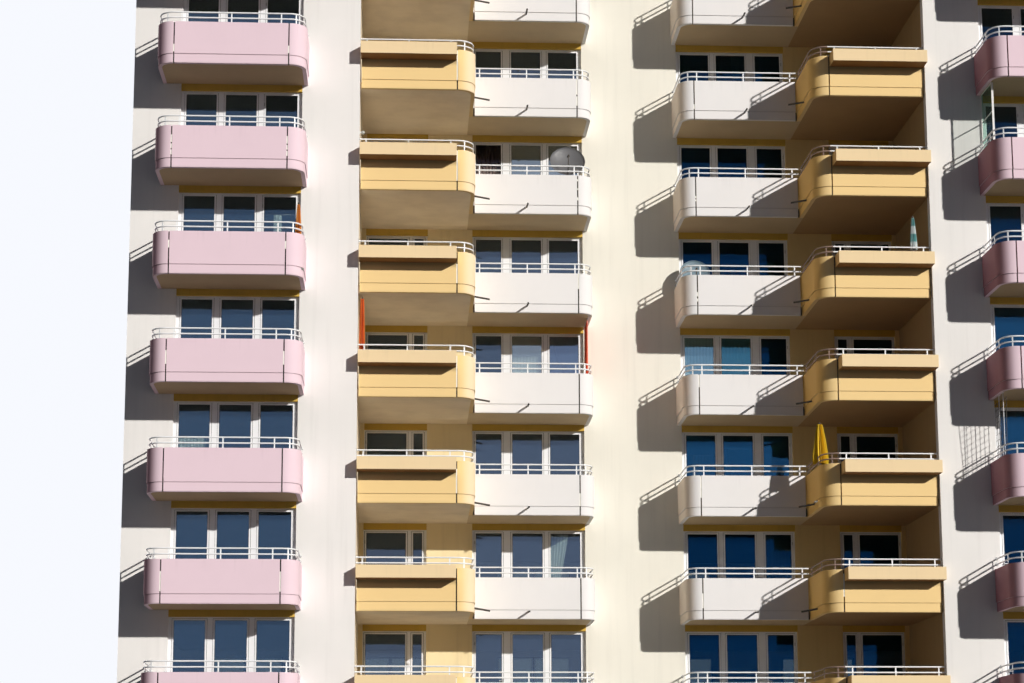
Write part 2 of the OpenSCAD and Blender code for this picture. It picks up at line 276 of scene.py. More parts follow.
def paintedPanel(name, colours, under=None, shadeBelowPlanter=None):
    # painted precast concrete: smooth, darker on faces toward -X as painted shade and paler on faces toward +X as
    # painted light, darker along its foot and just below the band's groove, and with rain marks;
    # under is the colour of faces looking down, painted shade, and below the height given for a planter's underside
    # the panel darkens in a band of painted shade
    p = Paint(name, 0.78)
    colour, paintedShadeSide, paintedLightSide = colours
    dirt = 0.09
    top, band = panel["top"], panel["band"]
    height = p.heightInStorey()
    aside = p.facing("X")
    # faces toward -X take the darker colour, painted shade, and faces toward +X the paler one, painted light
    tone = p.blend(p.spread(aside, -0.95, -0.25, 1.0, 0.0), colour, paintedShadeSide)
    tone = p.blend(p.spread(aside, 0.15, 0.75), tone, paintedLightSide)
    # faces looking down take the underside colour, painted shade
    if under:
        tone = p.blend(p.spread(p.facing("Z"), -0.9, -0.4, 1.0, 0.0), tone, under)
    tone = p.worn(tone, p.spread(p.noise(1.1, 5), 0.38, 0.72), dirt * 0.7, tinted(colour, 0.65))
    runs = p.times(p.spread(p.noise(1.5, 4, stretch=(7, 7, 0.5)), 0.52, 0.78), p.spread(height, top - 0.55, top))
    tone = p.worn(tone, runs, dirt, tinted(colour, 0.4))
    atGroove = p.times(p.spread(height, band - 0.035, band - 0.004), p.spread(height, band, band + 0.008, 1, 0))
    darkBandsAndPaintedShade = p.calc("MAXIMUM", p.spread(height, 0.0, 0.05, 1.0, 0.0), atGroove)
    # a darker band below the planter's underside: the planter's shadow, painted
    if shadeBelowPlanter:
        darkBandsAndPaintedShade = p.calc("MAXIMUM", darkBandsAndPaintedShade, p.spread(height, shadeBelowPlanter - 0.17, shadeBelowPlanter, 0.0, 3.5))
    tone = p.worn(tone, darkBandsAndPaintedShade, dirt * 2.2, tinted(colour, 0.25))
    return p.finish(tone, p.calc("ADD", p.noise(90, 2), p.noise(9, 3)), 0.0012)


def balconySlab(name, under, top):
    # painted soffit below, paler on the left half as painted light and darker on the right half as painted shade;
    # worn floor above
    p = Paint(name, 0.85)
    rightPaintedShadeTone = under[1]
    clouds = p.spread(p.noise(1.3, 5), 0.35, 0.75)
    below = p.worn(p.paintedShadeByHalf(*under), clouds, 0.16, tinted(rightPaintedShadeTone, 0.6))
    below = p.worn(below, p.noise(1.0, 2, stretch=(1.2, 7, 1)), 0.10, tinted(rightPaintedShadeTone, 0.75))
    above = p.blend(clouds, top, tinted(top, 0.7))
    return p.finish(p.blend(p.spread(p.facing("Z"), 0.3, 0.6), below, above), p.noise(45, 4), 0.002)


def bareConcrete(name, colour):
    p = Paint(name, 0.9)
    tone = p.blend(p.noise(0.8, 6), tinted(colour, 0.75), tinted(colour, 1.12))
    pores = p.spread(p.noise(60, 2), 0.62, 0.72)
    return p.finish(p.worn(tone, pores, 0.35, tinted(colour, 0.45)), p.noise(40, 5), 0.004)


def roofGravel(name, colour):
    p = Paint(name, 0.95)
    stones = p.add("TexVoronoi", "Distance", {"Scale": 28, "Vector": p.plain})
    tone = p.blend(stones, tinted(colour, 1.25), tinted(colour, 0.45))
    return p.finish(p.blend(p.noise(0.5, 5), tone, tinted(colour, 0.8)), stones, -0.012, 0.8)


def paintedSteel(name, colour, rough=0.38, metal=0.0, wear=0.35, rightPaintedShade=None):
    # the right half of the block may take a darker colour, painted shade
    p = Paint(name, rough, metal)
    worn = p.spread(p.noise(6, 5), 0.55, 0.8)
    tone = p.worn(p.paintedShadeByHalf(colour, rightPaintedShade), worn, wear, tinted(rightPaintedShade or colour, 0.55))
    p.set("Roughness", p.spread(p.noise(20, 2), 0.2, 0.8, rough - 0.1, rough + 0.15))
    return p.finish(tone, p.noise(120, 2), 0.0004)


def windowPaint(name, colour):
    p = Paint(name, 0.45)
    tone = p.worn(colour, p.noise(2.5, 4), 0.2, tinted(colour, 0.75))
    return p.finish(tone, p.noise(3, 3, stretch=(40, 40, 2)), 0.0006)


def clearGlass(name, tint, mirror, through=(0.42, 0.47, 0.48), lamps=(0.80, 0.85, 0.86), lean=0.0):
    # double glazing: a strong reflection with its sky colour painted in by the tint, and a dim view of what stands
    # behind
    p = Paint(name, 0.02)
    p.set("Roughness", p.spread(p.noise(1.8, 5), 0.4, 0.8, 0.015, 0.06))
    p.set("Transmission Weight", 1.0)
    p.set("IOR", mirror)
    p.set("Specular Tint", tint)
    p.finish(p.blend(p.noise(0.7, 2), through, tinted(through, 0.9)), p.noise(0.9, 1), 0.004, 0.25)
    if lean:
        # the mirrored edge of the balcony above sits lower when the panes lean back a little
        upright = p.shader.inputs["Normal"].links[0].from_socket
        leaning = p.add("VectorMath", "Vector", {0: upright, 1: (0, 0, lean)}, operation="ADD")
        p.set("Normal", p.add("VectorMath", "Vector", {0: leaning}, operation="NORMALIZE"))
    if lamps:
        p.passLamps(p.shader.outputs[0], lamps)
    return p.material


def thinGlass(name, tint, glare, lamps):
    # a single clear sheet: light goes straight on, with a little sky on it
    p = Paint(name, 0.06)
    p.finish(p.blend(p.noise(1.4, 3), tint, tinted(tint, 0.7)), p.noise(1.2, 1), 0.003, 0.2)
    clear = p.add("BsdfTransparent", "BSDF", {"Color": tint})
    sky = p.spread(p.noise(2.5, 4), 0.3, 0.8, glare, glare * 1.8)
    p.passLamps(p.add("MixShader", "Shader", {0: sky, 1: clear, 2: p.shader.outputs[0]}), lamps)
    return p.material


def opalGlass(name, colour):
    p = Paint(name, 0.3)
    p.set("Transmission Weight", 0.55)
    p.set("IOR", 1.5)
    return p.finish(p.blend(p.noise(1.5, 4), colour, tinted(colour, 0.85)), p.noise(60, 2), 0.002, 0.5)


def cloth(name, colour, shade=0.75, stripe=None):
    # woven cloth, plain or in broad stripes round an upright pole
    p = Paint(name, 0.9)
    tone = p.blend(p.noise(3, 3), colour, tinted(colour, shade))
    if stripe:
        pitch = stripe["pitch"]
        bands = p.spread(p.calc("PINGPONG", p.axis(p.plain, "Z"), pitch), pitch * 0.45, pitch * 0.55)
        tone = p.blend(bands, tone, stripe["colour"])
    p.set("Sheen Weight", 0.2)
    weave = p.calc("ADD", p.noise(900, 1, stretch=(1, 1, 0.15)), p.noise(900, 1, stretch=(0.15, 0.15, 1)))
    return p.finish(tone, weave, 0.0008)


def soil(name):
    p = Paint(name, 1.0)
    crumbs = p.noise(30, 6, 0.7)
    return p.finish(p.blend(crumbs, (0.035, 0.022, 0.014), (0.16, 0.10, 0.06)), crumbs, 0.02, 1.0)


print("materials")
paints = {
    "cream": (0.89, 0.86, 0.77),
    # the lintels' ochre, darkened as painted shade, since the lintels stay in the slabs' shade
    "ochre": (0.66, 0.43, 0.08),
    "paleOchre": (0.95, 0.79, 0.48),
    "shadedOchre": (0.80, 0.60, 0.28),
    "sand": (0.86, 0.76, 0.60),
    "shadedSand": (0.42, 0.28, 0.13),
    "white": (0.88, 0.86, 0.845),
    # panel paints: own colour, then a darker one for faces toward -X as painted shade and a paler one for faces
    # toward +X as painted light
    "whitePanel": ((0.88, 0.86, 0.865), (0.84, 0.73, 0.61), (0.88, 0.86, 0.86)),
    "yellowPanel": ((0.93, 0.67, 0.31), (0.80, 0.49, 0.13), (0.94, 0.75, 0.50)),
    "planter": ((0.91, 0.70, 0.42), (0.62, 0.38, 0.13), (0.92, 0.73, 0.47)),
    # the planters' undersides, darkened as painted shade
    "planterUndersideShade": (0.20, 0.085, 0.012),
    "lilacPanel": ((0.84, 0.645, 0.73), (0.32, 0.14, 0.17), (0.86, 0.66, 0.74)),
    # soffit colours for the left and the right half: the left pale as painted light, the right darker as painted
    # shade
    "yellowSoffit": ((0.98, 0.84, 0.64), (0.42, 0.26, 0.12)),
    "whiteSoffit": ((0.71, 0.56, 0.36), (0.56, 0.42, 0.25)),
    "lilacSoffit": ((0.46, 0.32, 0.19), (0.38, 0.28, 0.16)),
    "balconyFloor": (0.86, 0.80, 0.70),
    "rail": (0.90, 0.91, 0.93),
    "shadedRail": (0.30, 0.21, 0.17),
    "frame": (0.92, 0.93, 0.96),
}
creamRender = render("creamRender", paints["cream"])
ochreRender = render("ochreRender", paints["ochre"], dirt=0.16)
# the piers and the recess side walls take darker colours on the right half, painted shade
pierRender = render("pierRender", paints["paleOchre"], dirt=0.14, rightPaintedShade=paints["shadedOchre"])
sandRender = render("sandRender", paints["sand"], dirt=0.14, rightPaintedShade=paints["shadedSand"])
whiteRender = render("whiteRender", paints["white"])
whitePaint = paintedPanel("whitePanelPaint", paints["whitePanel"])
yellowPaint = paintedPanel("yellowPanelPaint", paints["yellowPanel"])
# the straight yellow panels, with a painted shadow below the planters
planterShadePaint = paintedPanel("yellowPlanterShadePaint", paints["yellowPanel"], shadeBelowPlanter=0.80)
planterPaint = paintedPanel("planterPaint", paints["planter"], under=paints["planterUndersideShade"])
lilacPaint = paintedPanel("lilacPanelPaint", paints["lilacPanel"])
whiteSlabPaint = balconySlab("whiteSlabPaint", paints["whiteSoffit"], paints["balconyFloor"])
yellowSlabPaint = balconySlab("yellowSlabPaint", paints["yellowSoffit"], paints["balconyFloor"])
lilacSlabPaint = balconySlab("lilacSlabPaint", paints["lilacSoffit"], paints["balconyFloor"])
plinthConcrete = bareConcrete("plinthConcrete", (0.36, 0.35, 0.33))
floorConcrete = bareConcrete("floorConcrete", (0.30, 0.28, 0.26))
gravel = roofGravel("roofGravel", (0.38, 0.37, 0.35))
copingMetal = paintedSteel("copingMetal", (0.45, 0.46, 0.47), 0.4, 0.6)
railPaint = paintedSteel("railPaint", paints["rail"], 0.5, 0.04, wear=0.2)
# the yellow side rails are darker on the right half, painted shade
sideRailPaint = paintedSteel("sideRailPaint", paints["rail"], 0.5, 0.04, wear=0.2, rightPaintedShade=paints["shadedRail"])
drainPlastic = paintedSteel("drainPlastic", (0.06, 0.052, 0.045), 0.55)
planterSoil = soil("planterSoil")
framePaint = windowPaint("framePaint", paints["frame"])
# painted sky reflections of the panes, from the deepest to the palest: the colour given to the mirrored sky and the
# strength of the mirror
paintedSkyTints = {
    "dim": ((0.05, 0.05, 0.08), 2.2),
    "navy": ((0.006, 0.085, 0.27), 2.2),
    "blue": ((0.05, 0.27, 0.66), 2.2),
    "sea": ((0.17, 0.60, 1.0), 2.3),
    "dusk": ((0.20, 0.36, 0.64), 2.2),
    "slate": ((0.36, 0.50, 0.78), 2.2),
    "mist": ((0.36, 0.50, 0.82), 3.0),
    "day": ((0.35, 0.68, 1.0), 3.0),
    "haze": ((0.65, 0.80, 1.0), 3.0),
}
frontGlass = [clearGlass("glass" + tint.title(), *how, lean=0.027) for tint, how in paintedSkyTints.items()]
glassRear = clearGlass("glassRear", (0.19, 0.46, 0.92), 2.2, through=(0.10, 0.13, 0.14), lamps=None)
screenGlass = thinGlass("screenGlass", (0.62, 0.76, 0.71), glare=0.05, lamps=(0.85, 0.87, 0.86))
opal = opalGlass("opal", (0.80, 0.82, 0.78))
sealRubber = paintedSteel("sealRubber", (0.035, 0.03, 0.028), 0.7)
sealantWhite = paintedSteel("sealantWhite", (0.84, 0.82, 0.76), 0.6)
netCloth = cloth("netCloth", (0.34, 0.38, 0.36), shade=0.9)
tealNet = cloth("tealNet", (0.62, 0.72, 0.74), shade=0.9)
drapeCloth = cloth("drapeCloth", (0.42, 0.24, 0.19))
orangeCloth = cloth("orangeCloth", (0.90, 0.22, 0.035))
redCloth = cloth("redCloth", (0.80, 0.07, 0.008))
yellowCloth = cloth("yellowCloth", (0.90, 0.62, 0.02))
amberCloth = cloth("amberCloth", (0.88, 0.36, 0.06))
blueCloth = cloth("blueCloth", (0.30, 0.62, 0.62), stripe={"pitch": 0.22, "colour": (0.86, 0.90, 0.90)})
steelBare = paintedSteel("steelBare", (0.42, 0.42, 0.42), 0.35, 0.8)
dishPaint = paintedSteel("dishPaint", (0.13, 0.13, 0.138), 0.5, wear=0.15)
dishPale = paintedSteel("dishPale", (0.15, 0.22, 0.27), 0.5, wear=0.15)
whitePlastic = paintedSteel("whitePlastic", (0.82, 0.82, 0.80), 0.35, wear=0.1)

nodeMaterials = {
    creamRender: ["centre_wall"],
    ochreRender: ["bay_lintels", "wing_lintels"],
    pierRender: ["bay_piers"],
    sandRender: ["recess_side_walls"],
    whiteRender: ["wing_piers", "gable_walls", "rear_piers", "rear_spandrels",
                  "front_upstands", "side_upstands", "rear_upstand"],
    whitePaint: ["white_bands", "white_panels", "white_corners"],
    yellowPaint: ["yellow_bands", "yellow_corners"],
    planterShadePaint: ["yellow_panels"],
    planterPaint: ["planters"],
    lilacPaint: ["lilac_bands", "lilac_panels", "lilac_corners"],
    whiteSlabPaint: ["white_slabs"],
    yellowSlabPaint: ["yellow_slabs"],
    lilacSlabPaint: ["lilac_slabs"],
    plinthConcrete: ["base_slab"],
    floorConcrete: ["centre_floors", "wing_floors"],
    gravel: ["roof_slab"],
    copingMetal: ["front_copings", "side_copings", "rear_coping"],
    railPaint: ["white_rails", "white_side_rails", "yellow_rails", "lilac_rails", "lilac_side_rails"],
    sideRailPaint: ["yellow_side_rails"],
    drainPlastic: ["drain_spouts"],
    planterSoil: ["planter_soil"],
}
for material, names in nodeMaterials.items():
    for name in names:
        for slot in nodes[name].material_slots:
            slot.material = material


# Windows, in metres: depths from the wall's face, widths and heights of the parts
windowParts = {
    "setBack": 0.10,
    "depth": 0.07,
    "sash": 0.05,
    "gap": 0.011,
    "proud": 0.012,
    "glass": 0.024,
    "topGap": 0.085,
    "foot": 0.13,
    "lowPanel": 0.86,
    "panelIn": 0.01,
    "rail": 0.05,
    "sillOut": 0.022,
    "seal": 0.008,
    "sealProud": 0.003,
    "glassIn": 0.012,
    "rebate": (0.03, 0.005),
    "transom": 0.04,
    "lever": {"in": 0.022, "foot": 0.82, "top": 1.0, "spindle": (0.93, 0.95), "long": 0.11},
    "hinge": {"in": 0.03, "low": 0.15, "high": 0.30, "long": 0.09, "radius": 0.008},
}
# x and panes on the right half, door is the pane that opens to the floor, the panes' painted sky reflections go from
# the middle outward by storey
frontWindows = {
    "whiteBay": {"face": wallFace, "x": (1.37, 4.50), "door": 2,
                 "panes": [(1.50, 2.325), (2.545, 3.385), (3.68, 4.40)],
                 "paintedSkies": {1: {2: ["blue"], 3: ["day", "sea", "navy"], None: ["navy"]},
                           -1: {3: ["mist", "haze", "slate"], 5: ["haze", "haze", "dim"], None: ["slate"]}}},
    "loggia": {"face": wallFace, "x": (5.76, 7.50), "door": 1,
               "panes": [(5.88, 6.134), (6.33, 7.424)],
               "paintedSkies": {1: {None: ["navy"]}, -1: {None: ["slate"]}}},
    "wing": {"face": wingFace, "x": (9.15, 12.35), "door": 0,
             "panes": [(9.28, 10.12), (10.36, 11.18), (11.42, 12.22)],
             "paintedSkies": {1: {3: ["blue"], 2: ["blue"], None: ["navy"]}, -1: {None: ["dusk"]}}},
}
rearWindows = {"count": 6, "width": 2.4, "panes": [(-1.11, -0.05), (0.05, 1.11)], "entranceHead": 2.25}


def addWindow(parts, x0, x1, z0, z1, face, inward, panes, lowPanel=0.0, transom=None):
    # parts are one mesh each for frames, glass, seals, grips and sills
    w = windowParts
    frames, seals, grips, sills = (parts[key] for key in ("frames", "seals", "grips", "sills"))
    sash, gap, seal, bar = w["sash"], w["gap"], w["seal"], w["transom"]

    def slab(bm, xa, xb, d0, d1, za, zb, mat=0):
        ya, yb = face + inward * d0, face + inward * d1
        addBox(bm, (min(xa, xb), min(ya, yb), za), (max(xa, xb), max(ya, yb), zb), mat)

    def surround(bm, d0, d1, outer, inner):
        # four slabs between two upright rectangles, each given as x0, x1, z0, z1
        for xa, xb in ((outer[0], inner[0]), (inner[1], outer[1])):
            slab(bm, xa, xb, d0, d1, outer[2], outer[3])
        for za, zb in ((inner[3], outer[3]), (outer[2], inner[2])):
            slab(bm, inner[0], inner[1], d0, d1, za, zb)

    def glazed(left, right, foot, top, kind):
        glassFront = front + w["glassIn"]
        slab(parts["glass"], left, right, glassFront, glassFront + w["glass"], foot, top, kind)
        surround(seals, glassFront - w["sealProud"], glassFront, (left, right, foot, top),
                 (left + seal, right - seal, foot + seal, top - seal))

    front, back = w["setBack"], w["setBack"] + w["depth"]
    ringFront, ringBack = front - w["proud"], back - 0.02
    top = z1 - w["topGap"]
    edges = [x0] + [e for p in panes for e in (p["x"][0] - sash, p["x"][1] + sash)] + [x1]
    for left, right in zip(edges[0::2], edges[1::2]):
        if right - left > 0.004:
            slab(frames, left, right, front, back, z0, z1)
    for p in panes:
        left, right = p["x"]
        outerLeft, outerRight = left - sash, right + sash
        sill = z0 if p["door"] else z0 + lowPanel
        slab(frames, outerLeft, outerRight, front, back, top + sash, z1)
        if lowPanel and not p["door"]:
            rail = sill - w["rail"]
            slab(frames, outerLeft, outerRight, front + w["panelIn"], back - w["panelIn"], z0, rail)
            slab(frames, outerLeft, outerRight, front, back, rail, sill)
        foot = sill + (w["foot"] if p["door"] else sash)
        ring = sash - gap
        ringOuter = left - ring, right + ring, sill + gap, top + ring
        surround(frames, ringFront, ringBack, ringOuter, (left, right, foot, top))
        # dark rebate behind the gap round the sash
        deepIn, deepOut = w["rebate"]
        surround(seals, front + deepIn, back - deepOut, (outerLeft, outerRight, sill, top + sash), ringOuter)
        if transom:
            slab(frames, left, right, ringFront, ringBack, transom - bar, transom + bar)
            glazed(left, right, transom + bar, top, p["glass"])
        glazed(left, right, foot, transom - bar if transom else top, p["glass"])
        if p["door"]:
            # a plate, a spindle and a lever, and two hinges on the other side
            lever, hinge = w["lever"], w["hinge"]
            out = 1 if p["grip"] > 0 else -1
            x = (right if out > 0 else left) + out * lever["in"]
            spindle = [foot + z for z in lever["spindle"]]
            slab(grips, x - 0.015, x + 0.015, ringFront - 0.008, ringFront, foot + lever["foot"], foot + lever["top"])
            slab(grips, x - 0.008, x + 0.008, ringFront - 0.05, ringFront - 0.008, *spindle)
            slab(grips, x + 0.008 * out, x - lever["long"] * out, ringFront - 0.055, ringFront - 0.04, *spindle)
            x = (left if out > 0 else right) - out * hinge["in"]
            y = face + inward * (ringFront - 0.006)
            for z in (foot + hinge["low"], top - hinge["high"]):
                addRod(grips, (x, y, z), (x, y, z + hinge["long"]), hinge["radius"], 8)
        elif lowPanel:
            slab(sills, outerLeft + 0.01, outerRight - 0.01, front - 0.035, front, sill - 0.004, sill)
        else:
            # sheet sill with a lip turned down
            lip = -w["sillOut"]
            slab(sills, outerLeft, outerRight, lip, front + 0.005, z0 - 0.004, z0 + 0.003)
            slab(sills, outerLeft, outerRight, lip, lip + 0.003, z0 - 0.035, z0 - 0.004)


def pane(x0, x1, door=False, grip=1, glass=0):
    return {"x": (x0, x1), "door": door, "grip": grip, "glass": glass}


def newParts():
    return {key: bmesh.new() for key in ("frames", "glass", "seals", "grips", "sills")}


def closeParts(name, parts, glass):
    for key, stuff, slot in (("frames", [framePaint], "window_frame"), ("glass", glass, "window_glass"),
                             ("seals", [sealRubber], "window_seal"), ("grips", [steelBare], "coping_metal"),
                             ("sills", [copingMetal], "coping_metal")):
        finishPiece(name + key.title(), parts[key], stuff)


# Curtains behind the panes: window, side of the block, storey, pane, share of the width at the top and at the
# foot, share of the height, cloth
curtains = [
    ("whiteBay", -1, 3, 1, (0.03, 0.9), (0.03, 0.9), (0.0, 0.62), "net"),
    ("whiteBay", -1, 3, 0, (0.0, 0.15), (0.0, 0.62), (0.0, 1.0), "net"),
    ("whiteBay", -1, 5, 2, (0.0, 1.0), (0.1, 1.0), (0.0, 1.0), "drape"),
    ("whiteBay", 1, 3, 0, (0.0, 1.0), (0.0, 1.0), (0.0, 1.0), "teal"),
    ("whiteBay", 1, 3, 1, (0.0, 1.0), (0.0, 1.0), (0.0, 1.0), "teal"),
    ("whiteBay", 1, 2, 0, (0.25, 1.0), (0.15, 1.0), (0.0, 0.62), "net"),
    ("whiteBay", 1, 2, 1, (0.0, 0.22), (0.0, 0.35), (0.0, 0.75), "net"),
    ("wing", -1, 4, 0, (0.3, 0.55), (0.25, 0.6), (0.0, 0.8), "net"),
    ("wing", -1, 2, 2, (0.0, 1.0), (0.0, 1.0), (0.0, 0.4), "net"),
    ("whiteBay", -1, 1, 0, (0.0, 0.6), (0.0, 0.3), (0.0, 1.0), "net"),
    ("whiteBay", 1, 6, 1, (0.55, 1.0), (0.75, 1.0), (0.0, 1.0), "net"),
    ("whiteBay", 1, 1, 2, (0.0, 1.0), (0.0, 1.0), (0.0, 1.0), "net"),
    ("whiteBay", -1, 7, 1, (0.0, 0.5), (0.0, 0.35), (0.0, 1.0), "net"),
    ("wing", 1, 3, 1, (0.0, 1.0), (0.0, 1.0), (0.0, 0.5), "net"),
    ("wing", 1, 1, 2, (0.4, 1.0), (0.6, 1.0), (0.0, 1.0), "drape"),
]


def buildFrontWindows():
    for name, kind in frontWindows.items():
        parts = newParts()
        for k in range(-1, storeys["upper"]):
            low = floorOf(k) if k >= 0 else baseTop + storeys["groundSill"]
            for side in (1, -1):
                panes = []
                for i, (a, b) in enumerate(kind["panes"]):
                    xa, xb = sorted((side * a, side * b))
                    paintedSkies = kind["paintedSkies"][side].get(k, kind["paintedSkies"][side][None])
                    glass = list(paintedSkyTints).index(paintedSkies[i % len(paintedSkies)])
                    panes.append(pane(xa, xb, k >= 0 and i == kind["door"], -side, glass))
                panes.sort(key=lambda p: p["x"][0])
                xa, xb = sorted(side * x for x in kind["x"])
                lowPanel = windowParts["lowPanel"] if k >= 0 else 0.0
                addWindow(parts, xa, xb, low, headOf(k), kind["face"], 1, panes, lowPanel)
        closeParts(name, parts, frontGlass)


def buildRearWindows():
    parts = newParts()
    pitch = 2 * blockEdge / rearWindows["count"]
    half = rearWindows["width"] / 2
    for k in range(-1, storeys["upper"]):
        for i in range(rearWindows["count"]):
            middle = (i + 0.5) * pitch - blockEdge
            wayIn = k < 0 and abs(middle) < pitch
            low = baseTop if wayIn else floorOf(k) + (storeys["groundSill"] if k < 0 else storeys["sill"])
            panes = [pane(middle + a, middle + b, door=wayIn, grip=1 if j == 0 else -1)
                     for j, (a, b) in enumerate(rearWindows["panes"])]
            addWindow(parts, middle - half, middle + half, low, headOf(k), rearFace, -1, panes,
                      transom=baseTop + rearWindows["entranceHead"] if wayIn else None)
    closeParts("rear", parts, [glassRear])


buildFrontWindows()
print("front windows")
buildRearWindows()
print("rear windows")

curtainMake = {
    "behind": 0.10,
    "wave": {"net": 0.009, "teal": 0.009, "drape": 0.028},
    "pitch": 0.09,
    "step": 0.014,
    "rows": 8,
    "rod": 0.010,
}


def hangCurtain(rods, number, kind, side, k, which, topShare, footShare, heights, stuff):
    w, c = windowParts, curtainMake
    window = frontWindows[kind]
    xa, xb = sorted(side * x for x in window["panes"][which])
    top = headOf(k) - w["topGap"]
    foot = floorOf(k) + (w["foot"] if which == window["door"] else w["lowPanel"] + w["sash"])
    y = window["face"] + w["setBack"] + w["depth"] + c["behind"]
    zTop = foot + heights[1] * (top - foot) + (0.03 if heights[1] > 0.99 else 0)
    zLow = foot + heights[0] * (top - foot)
    addRod(rods, (xa - 0.04, y, zTop + 0.004), (xb + 0.04, y, zTop + 0.004), c["rod"], 8)
    for x in (xa - 0.03, xb + 0.03):
        addRod(rods, (x, y, zTop + 0.004), (x, y - c["behind"] - 0.005, zTop + 0.004), 0.006, 6)
    bm = bmesh.new()
    columns = max(10, int((xb - xa) * (topShare[1] - topShare[0]) / c["step"]))
    rows = []
    for step in range(c["rows"] + 1):
        down = step / c["rows"]
        start = topShare[0] + (footShare[0] - topShare[0]) * down ** 1.3
        end = topShare[1] + (footShare[1] - topShare[1]) * down ** 1.3
        row = []
        for i in range(columns + 1):
            at = i / columns
            turn = at * columns * c["step"] / c["pitch"] * 2 * pi
            deep = c["wave"][stuff] * (0.6 + 0.4 * down)
            row.append(bm.verts.new((xa + (xb - xa) * (start + (end - start) * at),
                                     y + deep * sin(turn + number) + 0.35 * deep * sin(0.37 * turn + 2.1 * number),
                                     zTop + (zLow - zTop) * down)))
        rows.append(row)
    addGrid(bm, rows)
    length = zTop - zLow
    width = area(bm) / length
    stuffs = {"net": netCloth, "teal": tealNet, "drape": drapeCloth}
    return finishPiece("curtain%02d" % number, bm, [stuffs[stuff]]), width, length


def buildCurtains():
    rods = bmesh.new()
    hung = [hangCurtain(rods, number, *c) for number, c in enumerate(curtains)]
    carrier = finishPiece("curtainRods", rods, [steelBare])


buildCurtains()
print("curtains")

# Open joints: a dark strip deep inside, and a bead of sealant near the surface along the stretches listed
sealant = {
    "deep": (0.05, 0.085),
    "endDeep": (0.07, 0.10),
    "inset": 0.01,
    "bead": (0.004, 0.040),
    "step": 0.08,
    "sway": 0.003,
    "white": {
        -1: {2: [(0.25, 0.6)], 4: [(0.68, 1.09)], 5: [(0.40, 0.48), (0.70, 0.74), (0.95, 1.0)],
             6: [(0.33, 0.60), (0.66, 1.09)]},
        1: {1: [(0.3, 0.7)], 2: [(0.5, 1.09)], 3: [(0.75, 1.09)], 4: [(0.36, 0.44), (0.50, 0.62)],
            5: [(0.42, 0.46), (0.51, 0.56)], 6: [(0.29, 0.42)]},
    },
    "yellow": {
        -1: {0: [(0.26, 1.09)], 2: [(0.26, 0.9)], 3: [(0.26, 1.09)], 4: [(0.26, 0.78)], 5: [(0.26, 1.09)],
             6: [(0.26, 1.09)], 7: [(0.26, 1.09)]},
        1: {1: [(0.4, 1.0)]},
    },
    "lilac": {
        -1: {1: [(0.3, 0.8)], 3: [(0.45, 0.8)], 4: [(0.67, 0.87)], 5: [(0.33, 0.46), (0.50, 0.62), (0.66, 0.86)],
             6: [(0.3, 0.5)]},
        1: {},
    },
}


def addBead(bm, xa, xb, y, low, high):
    near, deep = sealant["bead"]
    steps = max(2, int((high - low) / sealant["step"]))
    middle = (xa + xb) / 2
    rings = []
    for i in range(steps + 1):
        z = low + (high - low) * i / steps
        sway = sealant["sway"] * sin(z * 37 + xa * 5)
        points = ((xa + 0.001, near + sway), (middle, near + 0.008 + sway), (xb - 0.001, near + sway),
                  (xb - 0.001, deep), (xa + 0.001, deep))
        rings.append([bm.verts.new((x, y + d, z)) for x, d in points])
    addGrid(bm, rings, closed=True, smooth=False)
    bm.faces.new(rings[0][::-1])
    bm.faces.new(rings[-1])


def buildJointStrips():
    dark, beads = bmesh.new(), bmesh.new()
    inset, whiteEnd = sealant["inset"], balconies["white"]["end"]

    def addStrip(side, xa, xb, front, depths, low, high):
        xa, xb = sorted((side * xa, side * xb))
        addBox(dark, (xa, front + depths[0], low + inset), (xb, front + depths[1], high - inset))
        return xa, xb

    for k in range(storeys["upper"] + 1):
        foot, full = level(k), k < storeys["upper"]
        bandTop = foot + panel["band"]
        top = foot + panel["top"] if full else bandTop
        for name, b in balconies.items():
            joints = [b["side"] + b["radius"]]
            if name == "lilac":
                joints.append(b["end"] - b["radius"] - panel["joint"])
            for x in joints:
                for side in (1, -1):
                    xa, xb = addStrip(side, x, x + panel["joint"], b["front"], sealant["deep"], foot, top)
                    for low, high in sealant[name][side].get(k, []) if full else []:
                        addBead(beads, xa, xb, b["front"], foot + low, foot + high)
        # above its band the white panel's end stays open
        for side in (1, -1):
            addStrip(side, whiteEnd - panel["endGap"], whiteEnd, whiteFront, sealant["endDeep"], foot, bandTop)
    finishPiece("jointStrips", dark, [sealRubber])
    finishPiece("jointBeads", beads, [sealantWhite])


buildJointStrips()
print("joint strips")

# Fixings of the railings: foot plates with bolts under every post, flanges where tubes meet a wall
fixings = {
    "plate": (0.045, 0.027, 0.007),
    "bolt": 0.010,
    "boltAt": 0.030,
    "flange": 0.042,
    "flangeThick": 0.008,
}


def addPlate(bm, x, y, z, turn):
    f = fixings
    place = Matrix.Translation((x, y, z)) @ Matrix.Rotation(turn, 4, "Z")
    a, b, c = f["plate"]
    addBox(bm, (-a, -b, 0), (a, b, c), 0, place)
    for out in (-1, 1):
        addTurned(bm, [(0, c), (f["bolt"], c), (f["bolt"] * 0.9, c + 0.008), (0, c + 0.009)], 6, 0,
                  place @ Matrix.Translation((out * f["boltAt"], 0, 0)))


def addFlange(bm, start, out):
    wide, thick = fixings["flange"], fixings["flangeThick"]
    addTurned(bm, [(0, 0), (wide, 0), (wide * 0.92, thick), (rails["tube"] / 2, thick)], 16, 0, aim(start, out))


